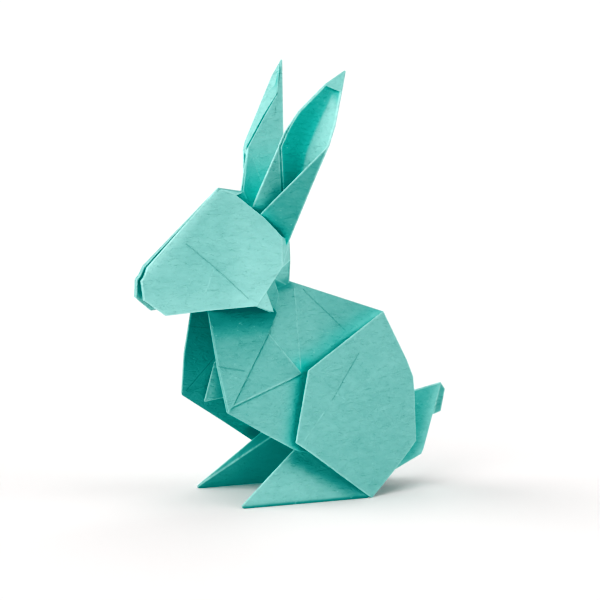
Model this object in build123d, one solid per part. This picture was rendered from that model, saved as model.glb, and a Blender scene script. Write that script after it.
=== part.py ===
from build123d import *
import os

# An origami rabbit folded from one square of paper, so the whole rabbit is one solid.
# It faces -X and stands on the folded edges of its two feet at Z = 0. Its two halves meet in the
# plane Y = 0 and mirror each other, but for the ears, the tail and the free edges of the flanks,
# which a hand folds a little unevenly. All lengths are in millimetres.
# Corners are named by their side-view place (X, Z). A half width is how far a corner lies from
# the middle plane, and the flat panels between the corners give every other width.

# Paper
LAYER = 0.18
LEAF = 2 * LAYER
FOLD_RADIUS = 0.22

# Body: the back is a ridge, and the two flanks hang from it like the sides of a tent
BACK_FRONT = (-2.9, 47.6)
BACK_REAR = (20.4, 39.3)
CHEST = (-23.1, 21.6)
CHEST_HALF_WIDTH = 12.8
BREAST_BEND = (-23.9, 31.2)
FLANK_END = (-3.1, 11.3)
COLLAR = (-8.3, 45.9)

# Foreleg: a long panel folded down over the flank, with a shoulder flap under its rear edge
SHOULDER = (-7.6, 41.1)
FORELEG_FOLD = (-10.3, 37.1)
PAW = (-22.2, 22.6)
FLAP_CORNER = (-3.4, 28.0)
INNER_FORELEG_TOP = (-16.8, 30.0)
INNER_FORELEG_FRONT = (-18.4, 20.9)
INNER_FORELEG_REAR = (-12.6, 22.0)
INNER_FORELEG_GAP = 2.2

# Haunch: a wide panel over the rear of the flank, proud of it along its front edge
KNEE = (-2.2, 28.9)
KNEE_STAND_OFF = 2.2
THIGH = (-7.7, 14.2)
THIGH_LOW = (-3.0, 10.9)
HEEL = (11.5, 0.0)
HEEL_HALF_WIDTH = 13.0
RUMP_TOP = (25.6, 28.2)
RUMP_BEND = (26.9, 24.4)
RUMP = (26.8, 21.4)
RUMP_LOW = (25.7, 10.6)
HOCK_NOTCH = (23.2, 8.5)
HOCK = (18.6, 5.0)

# Foot: a pointed pocket of two leaves, folded along the ground and roofed along the instep
TOE = (-19.4, 0.0)
TOE_HALF_WIDTH = 12.7
INSTEP = (-5.5, 11.4)
INSTEP_HALF_WIDTH = 9.9
FOOT_POCKET = 3.5

# Head: two cheeks that meet at the crown and stand apart at the jaw
CROWN_FRONT = (-19.7, 69.1)
CROWN_REAR = (-13.6, 68.0)
BROW = (-36.9, 52.7)
BROW_HALF_WIDTH = 1.45
JAW_TUCK = (-11.1, 46.8)
JAW_TUCK_TIP = (-8.3, 41.1)
JAW_TUCK_STAND_OFF = 1.2
JAW_REAR = (-13.6, 43.7)
JAW_HALF_WIDTH = 7.0
JAW_MID = (-24.4, 43.2)
JAW_FRONT = (-34.0, 42.5)
CHIN = (-36.7, 44.6)
LIP = (-38.3, 45.9)
NOSE = (-38.5, 49.9)
NOSE_TOP = (-37.8, 50.7)
CROWN_EDGE = (-16.0, 67.5)
NAPE_EDGE = (-9.9, 62.2)
NAPE_CREASE_TOP = (-6.5, 58.2)
NAPE_CREASE_LOW = (-7.1, 51.8)
NAPE_TOP = (-2.7, 56.4)
NAPE_LOW = (-2.6, 52.3)

# Neck: the layers between the cheeks that run down into the body
NECK_REAR_LOW = (-2.9, 46.6)
NECK_LOW = (-9.0, 44.4)
THROAT = (-25.0, 46.4)
NECK_FRONT = (-24.5, 60.0)
NECK_LAYERS = 4
NECK_SIDE = (-9.5, 50.0)
NECK_SIDE_HALF_WIDTH = 3.4
NECK_FOOT = (-9.6, 45.6)

# Ear: an open pocket that fans out from the middle plane
EAR_ROOT_FRONT = (-11.9, 63.8)
EAR_ROOT_REAR = (-3.7, 55.3)
EAR_TIP = (3.1, 95.4)
EAR_TIP_HALF_WIDTH = 16.8
EAR_INNER_HALF_WIDTH = 8.1
EAR_FLAP_LIFT = 0.9
EAR_OVERLAP = 0.15

# What differs between the halves. A rim runs from the ear's tip down to its corner. The ear's
# root is its front end, and the tail's top and root are the upper corners of its leaf.
LEFT = {
    "breast": (-24.2, 44.0),
    "belly": (-15.6, 17.1),
    "groin": (-7.6, 12.4),
    "inner_rim": ((-0.8, 92.3), (-5.6, 86.4), (-7.8, 82.0), (-8.7, 78.8)),
    "outer_rim": ((1.5, 91.0), (-1.0, 83.9), (-1.9, 79.6)),
    "outer_half_width": 19.2,
    "ear_root": (-11.9, 63.8),
    "tail_top": (26.8, 21.4),
    "tail_root": (21.2, 19.9),
}
RIGHT = {
    "breast": (-23.8, 44.0),
    "belly": (-12.2, 14.4),
    "groin": (-4.2, 9.0),
    "inner_rim": ((2.4, 93.4), (1.2, 88.4), (-3.5, 83.2), (-8.9, 76.8)),
    "outer_rim": ((1.4, 91.6), (-4.2, 76.8), (-4.8, 74.7)),
    "outer_half_width": 20.3,
    "ear_root": (-13.9, 66.4),
    "tail_top": (26.8, 18.6),
    "tail_root": (21.2, 17.1),
}

# Tail: a pleat whose outer fold lies in the middle plane
TAIL_TIP = (34.9, 22.2)
TAIL_LOW = (30.6, 7.5)
TAIL_HEM = (30.0, 6.3)
TAIL_ROOT_LOW = (21.0, 3.4)
TAIL_TAB = ((35.9, 20.7), (34.9, 15.8), (33.2, 15.2))


def left(place, half_width):
    """The corner on the rabbit's left at a side-view place and a half width."""
    return Vector(place[0], -half_width, place[1])


def through(a, b, c):
    """The plane through three corners."""
    return Plane(origin=a, x_dir=b - a, z_dir=(b - a).cross(c - a))


def on(plane, place):
    """The corner that lies on a plane at a side-view place."""
    normal = plane.z_dir
    run = place[0] - plane.origin.X
    rise = place[1] - plane.origin.Z
    return Vector(place[0], plane.origin.Y - (normal.X * run + normal.Z * rise) / normal.Y, place[1])


def at_middle(plane, x):
    """The corner where a plane meets the middle plane at a given X."""
    normal = plane.z_dir
    drop = normal.X * (x - plane.origin.X) - normal.Y * plane.origin.Y
    return Vector(x, 0, plane.origin.Z - drop / normal.Z)


def outward(plane):
    """The unit normal of a plane on the left half that points away from the middle plane."""
    return plane.z_dir if plane.z_dir.Y < 0 else -plane.z_dir


def meet(start, end, plane):
    """The corner where the line through two corners meets a plane."""
    along = end - start
    share = (plane.origin - start).dot(plane.z_dir) / along.dot(plane.z_dir)
    return start + along * share


def leaf(*corners, thick=LEAF, bottom=None):
    """A flat panel of paper. It lies half on each side of its corners, or starts at bottom."""
    normal = outward(through(corners[0], corners[1], corners[2]))
    start = -thick / 2 if bottom is None else bottom
    face = Face(Wire.make_polygon([corner + normal * start for corner in corners], close=True))
    return Solid.extrude(face, normal * thick)


def fold(*corners):
    """The rounded ridge of a fold that runs from corner to corner."""
    ridges = []
    for start, end in zip(corners, corners[1:]):
        ridge = Plane(origin=start, z_dir=end - start)
        ridges.append(Solid.make_cylinder(FOLD_RADIUS, (end - start).length, ridge))
    return ridges


# The planes that carry the large panels of the left half
back_front = left(BACK_FRONT, 0)
back_rear = left(BACK_REAR, 0)
flank_plane = through(back_front, back_rear, left(CHEST, CHEST_HALF_WIDTH))

heel = left(HEEL, HEEL_HALF_WIDTH)
knee = on(flank_plane, KNEE) + outward(flank_plane) * KNEE_STAND_OFF
haunch_plane = through(back_rear, heel, knee)

toe = left(TOE, TOE_HALF_WIDTH)
instep = left(INSTEP, INSTEP_HALF_WIDTH)

crown_front = left(CROWN_FRONT, 0)
crown_rear = left(CROWN_REAR, 0)
cheek_plane = through(crown_front, left(BROW, BROW_HALF_WIDTH), left(JAW_REAR, JAW_HALF_WIDTH))

jaw_tuck_tip = on(flank_plane, JAW_TUCK_TIP) + outward(flank_plane) * JAW_TUCK_STAND_OFF


def flank(half):
    """The side of the body from the back ridge down to its free lower edge, with the collar."""
    breast = on(flank_plane, half["breast"])
    shoulder = on(flank_plane, SHOULDER)
    collar_plane = through(breast, shoulder, left(COLLAR, 0))
    collar_front = at_middle(collar_plane, breast.X)
    lower = (FLANK_END, half["groin"], half["belly"], CHEST)
    outline = (BACK_FRONT, BACK_REAR) + lower + (BREAST_BEND, half["breast"], SHOULDER)
    corners = [on(flank_plane, place) for place in outline]
    side = leaf(*corners, on(flank_plane, COLLAR))
    collar = leaf(breast, shoulder, left(COLLAR, 0), collar_front)
    return [side, collar]


def foreleg(half):
    """The foreleg panel, the shoulder flap under it and the layer that hangs inside."""
    surface = LEAF / 2
    fold_top = on(flank_plane, FORELEG_FOLD)
    paw = on(flank_plane, PAW)
    flap = leaf(fold_top, on(flank_plane, FLAP_CORNER), paw, bottom=surface)
    edge = [on(flank_plane, place) for place in (BREAST_BEND, half["breast"], SHOULDER)]
    panel = leaf(paw, on(flank_plane, CHEST), *edge, fold_top, thick=2 * LEAF, bottom=surface)
    inward = outward(flank_plane) * -INNER_FORELEG_GAP
    hanging = leaf(
        on(flank_plane, INNER_FORELEG_TOP),
        on(flank_plane, INNER_FORELEG_FRONT) + inward,
        on(flank_plane, INNER_FORELEG_REAR) + inward,
    )
    return [flap, panel, hanging]


def haunch():
    """The thigh panel, from the rear end of the back down to the heel."""
    front = (BACK_REAR, KNEE, THIGH, THIGH_LOW, HEEL)
    rear = (HOCK, HOCK_NOTCH, RUMP_LOW, RUMP, RUMP_BEND, RUMP_TOP)
    return [leaf(*[on(haunch_plane, place) for place in front + rear])]


def foot():
    """The outer leaf, the inner leaf and the narrow roof between them."""
    hock = meet(toe, instep, haunch_plane)
    inner_hock = hock + Vector(0, FOOT_POCKET, -FOOT_POCKET)
    leaves = [leaf(toe, heel, hock), leaf(toe, heel, inner_hock), leaf(toe, inner_hock, hock)]
    return leaves + fold(toe, hock) + fold(toe, inner_hock)


def cheek():
    """One side of the head, with its crown facet, the facets of the nape and the tucked jaw."""
    outline = (
        CROWN_EDGE, NAPE_EDGE, NAPE_CREASE_TOP, NAPE_CREASE_LOW, JAW_REAR, JAW_MID, JAW_FRONT,
        CHIN, LIP, NOSE, NOSE_TOP, BROW, CROWN_FRONT,
    )
    crease_top = on(cheek_plane, NAPE_CREASE_TOP)
    crease_low = on(cheek_plane, NAPE_CREASE_LOW)
    nape_top = left(NAPE_TOP, 0)
    nape_low = left(NAPE_LOW, 0)
    side = leaf(*[on(cheek_plane, place) for place in outline])
    crown = leaf(crown_front, on(cheek_plane, CROWN_EDGE), crown_rear)
    nape = [leaf(crease_top, crease_low, nape_top), leaf(crease_low, nape_low, nape_top)]
    jaw = leaf(on(cheek_plane, JAW_TUCK), on(cheek_plane, JAW_REAR), jaw_tuck_tip)
    return [side, crown, jaw] + nape + fold(crease_top, crease_low)


def neck_side():
    """Three facets that close the rear of the neck, from the nape down to the body."""
    side = left(NECK_SIDE, NECK_SIDE_HALF_WIDTH)
    nape_low = left(NAPE_LOW, 0)
    rear_low = left(NECK_REAR_LOW, 0)
    upper = leaf(nape_low, on(cheek_plane, NAPE_CREASE_LOW), side)
    rear = leaf(nape_low, rear_low, side)
    lower = leaf(rear_low, on(flank_plane, NECK_FOOT), side)
    return [upper, rear, lower]


def ear(half):
    """Two walls that meet in the valley at the back, and two flaps folded over the lower front."""
    tip = left(EAR_TIP, EAR_TIP_HALF_WIDTH)
    inner = left(half["inner_rim"][-1], EAR_INNER_HALF_WIDTH)
    outer = left(half["outer_rim"][-1], half["outer_half_width"])
    root_front = left(half["ear_root"], 0)
    root_rear = left(EAR_ROOT_REAR, 0)
    inner_plane = through(tip, inner, root_rear)
    outer_plane = through(tip, outer, root_rear)
    rim = [on(inner_plane, place) for place in half["inner_rim"]]
    outer_rim = [on(outer_plane, place) for place in half["outer_rim"]]
    hollow_side = outward(through(inner, root_front, root_rear)) * EAR_FLAP_LIFT
    overlap = root_front + (root_rear - root_front) * EAR_OVERLAP
    panels = [
        leaf(tip, *rim, root_rear),
        leaf(inner, root_front, root_rear),
        leaf(tip, *outer_rim, root_rear),
        leaf(inner, root_front, root_rear + hollow_side),
        leaf(outer, overlap, root_rear),
        leaf(tip, rim[0], outer_rim[0]),
    ]
    return panels + fold(tip, root_rear, outer) + fold(inner, root_front)


def tail(half):
    """One leaf of the tail pleat, joined to the haunch along its root."""
    tip = left(TAIL_TIP, 0)
    low = left(TAIL_LOW, 0)
    plane = through(tip, low, on(haunch_plane, RUMP))
    outline = (half["tail_top"], half["tail_root"], TAIL_ROOT_LOW, TAIL_HEM)
    return [leaf(tip, low, *[on(plane, place) for place in reversed(outline)])]


def middle():
    """What lies in the middle plane: the neck layers, the tail tab and the ridges of the folds."""
    neck_outline = (
        CROWN_FRONT, CROWN_REAR, EAR_ROOT_FRONT, EAR_ROOT_REAR, NAPE_TOP, NAPE_LOW,
        NECK_REAR_LOW, NECK_LOW, THROAT, NECK_FRONT,
    )
    neck = leaf(*[left(place, 0) for place in neck_outline], thick=NECK_LAYERS * LAYER)
    tab = leaf(*[left(place, 0) for place in (TAIL_TIP,) + TAIL_TAB])
    ridges = fold(back_front, back_rear) + fold(crown_front, crown_rear)
    return [neck, tab] + ridges + fold(left(TAIL_TIP, 0), left(TAIL_LOW, 0), left(TAIL_HEM, 0))


def panels_of(half):
    """Every panel of one half, drawn as on the rabbit's left."""
    body = flank(half) + foreleg(half) + haunch() + foot() + tail(half)
    return body + cheek() + neck_side() + ear(half)


right_half = [panel.mirror(Plane.XZ) for panel in panels_of(RIGHT)]
sheet = Part() + panels_of(LEFT) + right_half + middle()

# The folded edges of the feet are pressed flat where they stand
bounds = sheet.bounding_box()
ground = Pos(0, 0, -bounds.size.Z / 2) * Box(2 * bounds.size.X, 2 * bounds.size.Y, bounds.size.Z)
rabbit = sheet - ground
bounds = rabbit.bounding_box()
rabbit = Pos(-bounds.center().X, -bounds.center().Y, 0) * rabbit

os.makedirs("parts", exist_ok=True)
export_step(rabbit, "parts/origami_rabbit.step")
print("solids", len(rabbit.solids()), "volume", round(rabbit.volume, 1), "box", bounds.size)
print("moved", -bounds.center().X, -bounds.center().Y)
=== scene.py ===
"""A rabbit folded from one square of turquoise paper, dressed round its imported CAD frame.

Every panel of paper is a closed sheet worked out with numpy. Corners are given in millimetres by
their side-view place (X, Z) and their half width from the middle plane, as the CAD source names
them, and they are moved and scaled to the frame's metres when a mesh is made.
"""

import bpy
import numpy as np
from bpy.props import FloatProperty, FloatVectorProperty, PointerProperty
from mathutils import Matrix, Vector


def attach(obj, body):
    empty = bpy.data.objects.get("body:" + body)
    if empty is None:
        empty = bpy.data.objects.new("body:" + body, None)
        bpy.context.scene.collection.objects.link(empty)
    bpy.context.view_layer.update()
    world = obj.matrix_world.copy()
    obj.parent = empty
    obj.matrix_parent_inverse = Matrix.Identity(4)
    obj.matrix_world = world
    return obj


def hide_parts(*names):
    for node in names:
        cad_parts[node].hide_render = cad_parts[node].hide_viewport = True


bl_info = {
    "name": "Folded Paper Rabbit",
    "version": (1, 0, 0),
    "blender": (4, 5, 0),
    "location": "View3D > Sidebar > Paper Rabbit",
    "description": "Builds a rabbit folded from one square of paper, with its stage",
    "category": "Add Mesh",
}

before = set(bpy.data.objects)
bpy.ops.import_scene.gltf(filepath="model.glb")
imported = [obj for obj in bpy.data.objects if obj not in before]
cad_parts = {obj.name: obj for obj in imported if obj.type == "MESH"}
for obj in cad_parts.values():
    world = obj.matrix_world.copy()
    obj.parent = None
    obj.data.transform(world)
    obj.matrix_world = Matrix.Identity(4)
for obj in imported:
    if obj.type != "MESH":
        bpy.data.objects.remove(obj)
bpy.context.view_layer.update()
NODE = "origami_rabbit"
MM = 0.001
# How far the paler rubbing of a folded edge and its painted highlight reach from it, in millimetres
WEAR_AND_HIGHLIGHT_WIDTH = 0.22
# How far the light reaches in behind an open edge, in millimetres
LIP_WIDTH = 0.9
# How far from a panel's outline its crumples, creases and bulge come in, in millimetres
CRUMPLE_FADE = 2.6
CREASE_FADE = 1.2
BULGE_FADE = 4
# How softly a pressed crease is rounded, in millimetres
CREASE_ROUNDING = 0.2
# How high above the ground a folded edge starts to get its paler rubbing and painted highlight, in
# millimetres
GROUND_FADE = 0.7
# The right half's crumples are drawn from seeds this much higher than the left half's
RIGHT_SEED = 50
# The CAD source centres its box on the origin, which moves its corners by this much
CENTRING = np.array([1.3126, -0.0905, 0.0])

# Body
BACK_FRONT = (-2.9, 47.6)
BACK_REAR = (20.4, 39.3)
CHEST = (-23.1, 21.6)
CHEST_HALF_WIDTH = 12.8
BREAST_BEND = (-23.9, 31.2)
FLANK_END = (-3.1, 11.3)
COLLAR = (-8.3, 45.9)
FLANK_CENTRE = (0.0, 28.0)
# The haunch shades the flank from its rear end to here
FLANK_SHADE_END = (-6.0, 12.0)

# Foreleg
SHOULDER = (-7.6, 41.1)
FORELEG_FOLD = (-10.3, 37.1)
PAW = (-22.2, 22.6)
FLAP_CORNER = (-3.4, 28.0)
INNER_FORELEG_TOP = (-16.8, 30.0)
INNER_FORELEG_FRONT = (-18.4, 20.9)
INNER_FORELEG_REAR = (-12.6, 22.0)
INNER_FORELEG_GAP = 2.2
# How far the shoulder flap and the foreleg lie off the flank, in leaves
FLAP_LIFT = 0.8
FORELEG_LIFT = 1.75

# Haunch
KNEE = (-2.2, 28.9)
KNEE_STAND_OFF = 2.2
THIGH = (-7.7, 14.2)
THIGH_LOW = (-3.0, 10.9)
HEEL = (11.5, 0.0)
HEEL_HALF_WIDTH = 13.0
RUMP_TOP = (25.6, 28.2)
RUMP_BEND = (26.9, 24.4)
RUMP = (26.8, 21.4)
RUMP_LOW = (25.7, 10.6)
HOCK_NOTCH = (23.2, 8.5)
HOCK = (18.6, 5.0)

# Foot
TOE = (-19.4, 0.0)
TOE_HALF_WIDTH = 12.7
INSTEP = (-5.5, 11.4)
INSTEP_HALF_WIDTH = 9.9
FOOT_POCKET = 3.5
# The haunch shades the foot along this run
FOOT_SHADE = ((-5.5, 9.2), (8.3, 0.8))
TOE_ROUNDING = 0.9
# How far the corners of a foot, and of an ear's walls, are cut short and rounded
FOOT_CORNER = 2.2
EAR_CORNER = 0.7

# Head
CROWN_FRONT = (-19.7, 69.1)
CROWN_REAR = (-13.6, 68.0)
BROW = (-36.9, 52.7)
BROW_HALF_WIDTH = 1.45
JAW_TUCK = (-11.1, 46.8)
JAW_TUCK_TIP = (-8.3, 41.1)
JAW_TUCK_STAND_OFF = 1.2
HEM = 0.75
JAW_REAR = (-13.6, 43.7)
JAW_HALF_WIDTH = 7.0
JAW_MID = (-24.4, 43.2)
JAW_FRONT = (-34.0, 42.5)
CHIN = (-36.7, 44.6)
LIP = (-38.3, 45.9)
NOSE = (-38.5, 49.9)
NOSE_TOP = (-37.8, 50.7)
CROWN_EDGE = (-16.0, 67.5)
NAPE_EDGE = (-9.9, 62.2)
NAPE_CREASE_TOP = (-6.5, 58.2)
NAPE_CREASE_LOW = (-7.1, 51.8)
NAPE_TOP = (-2.7, 56.4)
NAPE_LOW = (-2.6, 52.3)

# Neck
NECK_REAR_LOW = (-2.9, 46.6)
NECK_LOW = (-9.0, 44.4)
THROAT = (-25.0, 46.4)
NECK_FRONT = (-24.5, 60.0)
NECK_SIDE = (-9.5, 50.0)
NECK_SIDE_HALF_WIDTH = 3.4
NECK_FOOT = (-9.6, 45.6)
NECK_CENTRE = (-12.0, 55.0)
# The ears' roots light the leaves between the cheeks along this run
ROOT_GLOW = ((-14.0, 66.8), (-12.0, 64.5))
# Corners of the leaves that close the neck's side: on the cheek, with their insets, and the flank
CHEEK_CORNERS = (((-9.0, 49.4), 0.8), (JAW_REAR, 0.9), (NAPE_CREASE_LOW, 0.3))
FLANK_CORNER = (-6.0, 45.0)

# Ear
EAR_ROOT_FRONT = (-11.9, 63.8)
EAR_ROOT_REAR = (-3.7, 55.3)
EAR_TIP = (3.1, 95.4)
EAR_TIP_HALF_WIDTH = 16.8
EAR_INNER_HALF_WIDTH = 8.1
EAR_OVERLAP = 0.15
# How far the inner flap's corners and the outer flap's lower ones stand off the ear's lower plane
INNER_FLAP_LIFTS = (0.25, 0.8, 0.3)
OUTER_FLAP_LIFT = 1.5
LINING_THICKNESS = 0.22
# How many points the lining has down and across the ear
LINING_ROWS = 70
LINING_COLUMNS = 48

# The foreleg's top runs on up between the cheeks
BIB = ((-24.0, 46.5), (-10.5, 46.5))

# What differs between the halves. A rim runs from the ear's tip down to its corner. The lining
# comes free of the wall at the share freed of the way down, its border then lies reach past the
# rim, and its other side is paler by light.
LEFT = {
    "sign": 1,
    "lining": {"reach": -0.3, "light": 0.15, "freed": 0.28},
    # How strongly the edges behind the ear show rubbing and a painted highlight
    "ear_rub": 1.0,
    "breast": (-24.2, 44.0),
    "belly": (-15.6, 17.1),
    "groin": (-7.6, 12.4),
    "inner_rim": ((-0.8, 92.3), (-5.6, 86.4), (-7.8, 82.0), (-8.7, 78.8)),
    "outer_rim": ((1.5, 91.0), (-1.0, 83.9), (-1.9, 79.6)),
    "outer_half_width": 19.2,
    "ear_root": (-11.9, 63.8),
    "tail_top": (26.8, 21.4),
    "tail_root": (21.2, 19.9),
}
RIGHT = {
    "sign": -1,
    "lining": {"reach": 0.55, "light": 0.25, "freed": -1.0},
    "ear_rub": 0.3,
    "breast": (-23.8, 44.0),
    "belly": (-12.2, 14.4),
    "groin": (-4.2, 9.0),
    "inner_rim": ((2.4, 93.4), (1.2, 88.4), (-3.5, 83.2), (-8.9, 76.8)),
    "outer_rim": ((1.4, 91.6), (-4.2, 76.8), (-4.8, 74.7)),
    "outer_half_width": 20.3,
    "ear_root": (-13.9, 66.4),
    "tail_top": (26.8, 18.6),
    "tail_root": (21.2, 17.1),
}

# Tail
TAIL_TIP = (34.9, 22.2)
TAIL_LOW = (30.6, 7.5)
TAIL_HEM = (30.0, 6.3)
TAIL_ROOT_LOW = (21.0, 3.4)
TAIL_TAB = ((35.9, 20.7), (34.9, 15.8), (33.2, 15.2))


def left(place, half_width):
    """The corner on the rabbit's left at a side-view place and a half width."""
    return np.array([place[0], -half_width, place[1]])


def through(a, b, c):
    """The plane through three corners, as its origin and its unit normal towards the left."""
    normal = np.cross(b - a, c - a)
    normal /= np.linalg.norm(normal)
    return a, normal * (-1 if normal[1] > 0 else 1)


def on(plane, place):
    """The corner that lies on a plane at a side-view place."""
    origin, normal = plane
    across = normal[0] * (place[0] - origin[0]) + normal[2] * (place[1] - origin[2])
    return np.array([place[0], origin[1] - across / normal[1], place[1]])


def at_middle(plane, x):
    """The corner where a plane meets the middle plane at a given X."""
    origin, normal = plane
    drop = normal[0] * (x - origin[0]) - normal[1] * origin[1]
    return np.array([x, 0.0, origin[2] - drop / normal[2]])


def meet(start, end, plane):
    """The corner where the line through two corners meets a plane."""
    origin, normal = plane
    along = end - start
    return start + along * ((origin - start) @ normal) / (along @ normal)


back_front = left(BACK_FRONT, 0)
back_rear = left(BACK_REAR, 0)
FLANK = through(back_front, back_rear, left(CHEST, CHEST_HALF_WIDTH))
heel = left(HEEL, HEEL_HALF_WIDTH)
knee = on(FLANK, KNEE) + FLANK[1] * KNEE_STAND_OFF
HAUNCH = through(back_rear, heel, knee)
toe = left(TOE, TOE_HALF_WIDTH)
instep = left(INSTEP, INSTEP_HALF_WIDTH)
crown_front = left(CROWN_FRONT, 0)
crown_rear = left(CROWN_REAR, 0)
CHEEK = through(crown_front, left(BROW, BROW_HALF_WIDTH), left(JAW_REAR, JAW_HALF_WIDTH))
jaw_tuck_tip = on(FLANK, JAW_TUCK_TIP) + FLANK[1] * JAW_TUCK_STAND_OFF


def paper():
    """The paper's sizes, as the sidebar shows them."""
    return bpy.context.scene.paper_rabbit_sizes


def nearest(points, starts, ends):
    """How far each point lies from the nearest of some straight runs: the point is dropped onto
    each run, kept between the run's ends, and the least gap is taken."""
    gaps = []
    for start, end in zip(starts, ends):
        run = end - start
        share = np.clip((points - start) @ run / (run @ run), 0, 1)
        gaps.append(np.linalg.norm(points - start - share[..., None] * run, axis=-1))
    return np.min(gaps, axis=0)


def smooth_step(t):
    """0 before 0, 1 after 1, and an S curve between: 3 t squared less 2 t cubed."""
    t = np.clip(t, 0, 1)
    return t * t * (3 - 2 * t)


def crumple(points, seed):
    """Soft crumples of handled paper, from -1 to 1: folded waves, 1 less twice the size of a sine,
    run in seeded directions and phases at lengths of 7 to 24 mm, and are averaged."""
    random = np.random.default_rng(seed)
    waves = 0
    for length in (24, 17, 12, 9, 7):
        way = random.normal(size=3)
        way /= np.linalg.norm(way)
        bend = 0.6 * np.sin(points @ np.roll(way, 1) * 2 * np.pi / (1.7 * length))
        turn = points @ way * np.pi / length + bend + random.random() * 6
        waves = waves + 1 - 2 * np.abs(np.sin(turn))
    return waves / 5


def rim_of(corners, normal, radius, corner):
    """The walk round a flat panel: every corner moves out by the paper's half thickness, is cut
    short on the curve (1-t)(1-t) a + 2 t (1-t) c + t t b, and the runs between are divided evenly.
    Also gives the moved corners."""
    run = np.roll(corners, -1, axis=0) - corners
    along = run / np.linalg.norm(run, axis=1)[:, None]
    away = np.cross(along, normal)
    mitre = away + np.roll(away, 1, axis=0)
    mitre /= np.linalg.norm(mitre, axis=1)[:, None]
    reach = np.minimum(1 / np.maximum((mitre * away).sum(axis=1), 0.1), 1.7)
    corners = corners + mitre * (reach * radius)[:, None]
    ends = np.roll(corners, -1, axis=0)
    lengths = np.linalg.norm(ends - corners, axis=1)
    cut = np.minimum(corner, 0.3 * np.minimum(lengths, np.roll(lengths, 1)))[:, None]
    leave = corners + cut * (ends - corners) / lengths[:, None]
    arrive = ends - np.roll(cut, -1, axis=0) * (ends - corners) / lengths[:, None]
    t = np.array([0.25, 0.5, 0.75])[:, None]
    walk = []
    for k in range(len(corners)):
        count = max(2, int(lengths[k] / paper().cell))
        walk.append(leave[k] + (arrive[k] - leave[k]) * np.linspace(0, 1, count + 1)[:, None])
        following = (k + 1) % len(corners)
        walk.append((1 - t) ** 2 * arrive[k] + 2 * t * (1 - t) * ends[k] + t * t * leave[following])
    return np.concatenate(walk), corners


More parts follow.
